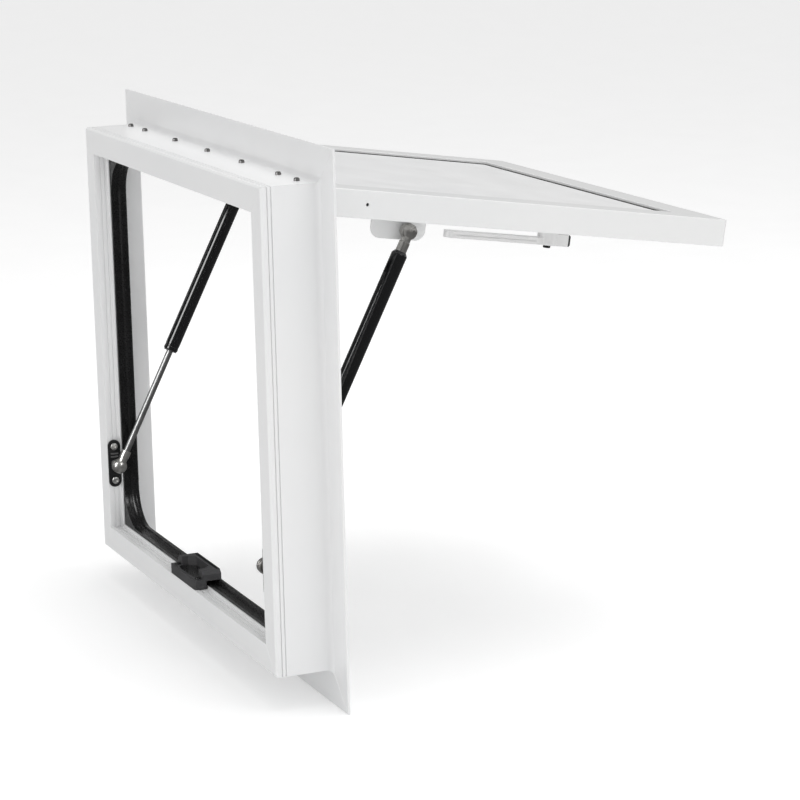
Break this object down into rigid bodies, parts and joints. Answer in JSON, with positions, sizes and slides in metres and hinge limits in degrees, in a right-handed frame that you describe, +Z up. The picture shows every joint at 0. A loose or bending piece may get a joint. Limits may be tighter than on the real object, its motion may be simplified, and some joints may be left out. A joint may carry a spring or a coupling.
{
  "type": "lift-up window",
  "caption": "Top-hung lift-up window: flanged barrel frame, bulb seal, hinged glazed sash on gas struts, turn handle and sill keeper.",
  "frame": {"origin": "centre of the wall cut-out, in the plane of the wall's outer surface", "axes": "+X along the hinge to the right as seen from indoors, +Y outdoors, +Z up"},
  "size_m": [0.7, 0.5705, 0.62],
  "materials": {
    "powder_white": "gloss white powder coat on aluminium extrusion",
    "hinge_aluminium": "mill-finish aluminium",
    "black_rubber": "satin EPDM",
    "zinc_steel": "bright zinc plate",
    "pane_acrylic": "gloss opal sheet",
    "grey_nylon": "matt dark grey moulded nylon",
    "white_nylon": "gloss white moulding",
    "black_bracket": "black e-coat",
    "black_tube": "high-gloss black enamel",
    "chrome_rod": "hard chrome, ground"
  },
  "bodies": {
    "frame": {"frame_top_rail": "powder_white", "frame_bottom_rail": "powder_white", "frame_left_jamb": "powder_white", "frame_right_jamb": "powder_white", "corner_key_bottom_left": "hinge_aluminium", "corner_key_bottom_right": "hinge_aluminium", "corner_key_top_left": "hinge_aluminium", "corner_key_top_right": "hinge_aluminium", "bulb_seal": "black_rubber", "hinge_frame_leaf": "hinge_aluminium", "hinge_pin": "zinc_steel", "hinge_screw_1": "zinc_steel", "hinge_screw_2": "zinc_steel", "hinge_screw_3": "zinc_steel", "hinge_screw_4": "zinc_steel", "hinge_screw_5": "zinc_steel", "hinge_screw_6": "zinc_steel", "hinge_screw_7": "zinc_steel", "left_jamb_plate": "black_bracket", "right_jamb_plate": "black_bracket", "left_jamb_stud": "zinc_steel", "right_jamb_stud": "zinc_steel", "left_jamb_screws": "zinc_steel", "right_jamb_screws": "zinc_steel", "keeper": "grey_nylon", "keeper_screws": "zinc_steel"},
    "sash": {"sash_top_member": "powder_white", "sash_bottom_member": "powder_white", "sash_left_member": "powder_white", "sash_right_member": "powder_white", "pane": "pane_acrylic", "glazing_gasket": "black_rubber", "hinge_sash_leaf": "hinge_aluminium", "left_sash_tab": "powder_white", "right_sash_tab": "powder_white", "left_sash_stud": "zinc_steel", "right_sash_stud": "zinc_steel", "left_tab_screws": "zinc_steel", "right_tab_screws": "zinc_steel", "handle_base": "white_nylon", "handle_base_screws": "zinc_steel"},
    "handle": {"handle_lever": "white_nylon", "handle_tip": "grey_nylon", "handle_cam": "zinc_steel", "handle_spindle": "zinc_steel", "handle_screw": "grey_nylon"},
    "left_tube": {"left_strut_tube": "black_tube", "left_tube_gland": "black_tube", "left_tube_socket": "zinc_steel"},
    "left_rod": {"left_strut_rod": "chrome_rod", "left_rod_socket": "zinc_steel", "left_rod_ball": "zinc_steel"},
    "right_tube": {"right_strut_tube": "black_tube", "right_tube_gland": "black_tube", "right_tube_socket": "zinc_steel"},
    "right_rod": {"right_strut_rod": "chrome_rod", "right_rod_socket": "zinc_steel", "right_rod_ball": "zinc_steel"}
  },
  "joints": [
    {"name": "sash_hinge", "type": "hinge", "parent": "frame", "child": "sash", "pos_m": [0, -0.002, 0.2646], "axis": [1, 0, 0], "range_deg": [-81.2, 0]},
    {"name": "handle_turn", "type": "hinge", "parent": "sash", "child": "handle", "pos_m": [0, 0.42682, 0.16766], "axis": [0, 0.153, 0.9882], "range_deg": [0, 90]},
    {"name": "left_strut_swing", "type": "hinge", "parent": "sash", "child": "left_tube", "pos_m": [-0.259, 0.1246, 0.19997], "axis": [1, 0, 0], "range_deg": [0, 106.14]},
    {"name": "left_strut_slide", "type": "slide", "parent": "left_tube", "child": "left_rod", "axis": [0, 0.4554, 0.8903], "range_m": [0, 0.1141]},
    {"name": "right_strut_swing", "type": "hinge", "parent": "sash", "child": "right_tube", "pos_m": [0.259, 0.1246, 0.19997], "axis": [1, 0, 0], "range_deg": [0, 106.14]},
    {"name": "right_strut_slide", "type": "slide", "parent": "right_tube", "child": "right_rod", "axis": [0, 0.4554, 0.8903], "range_m": [0, 0.1141]}
  ],
  "couplings": [
    {"joint": "left_strut_swing", "follows": "sash_hinge", "ratio": -1.3065},
    {"joint": "left_strut_slide", "follows": "sash_hinge", "m_per_rad": -0.080464},
    {"joint": "right_strut_swing", "follows": "sash_hinge", "ratio": -1.3065},
    {"joint": "right_strut_slide", "follows": "sash_hinge", "m_per_rad": -0.080464}
  ]
}
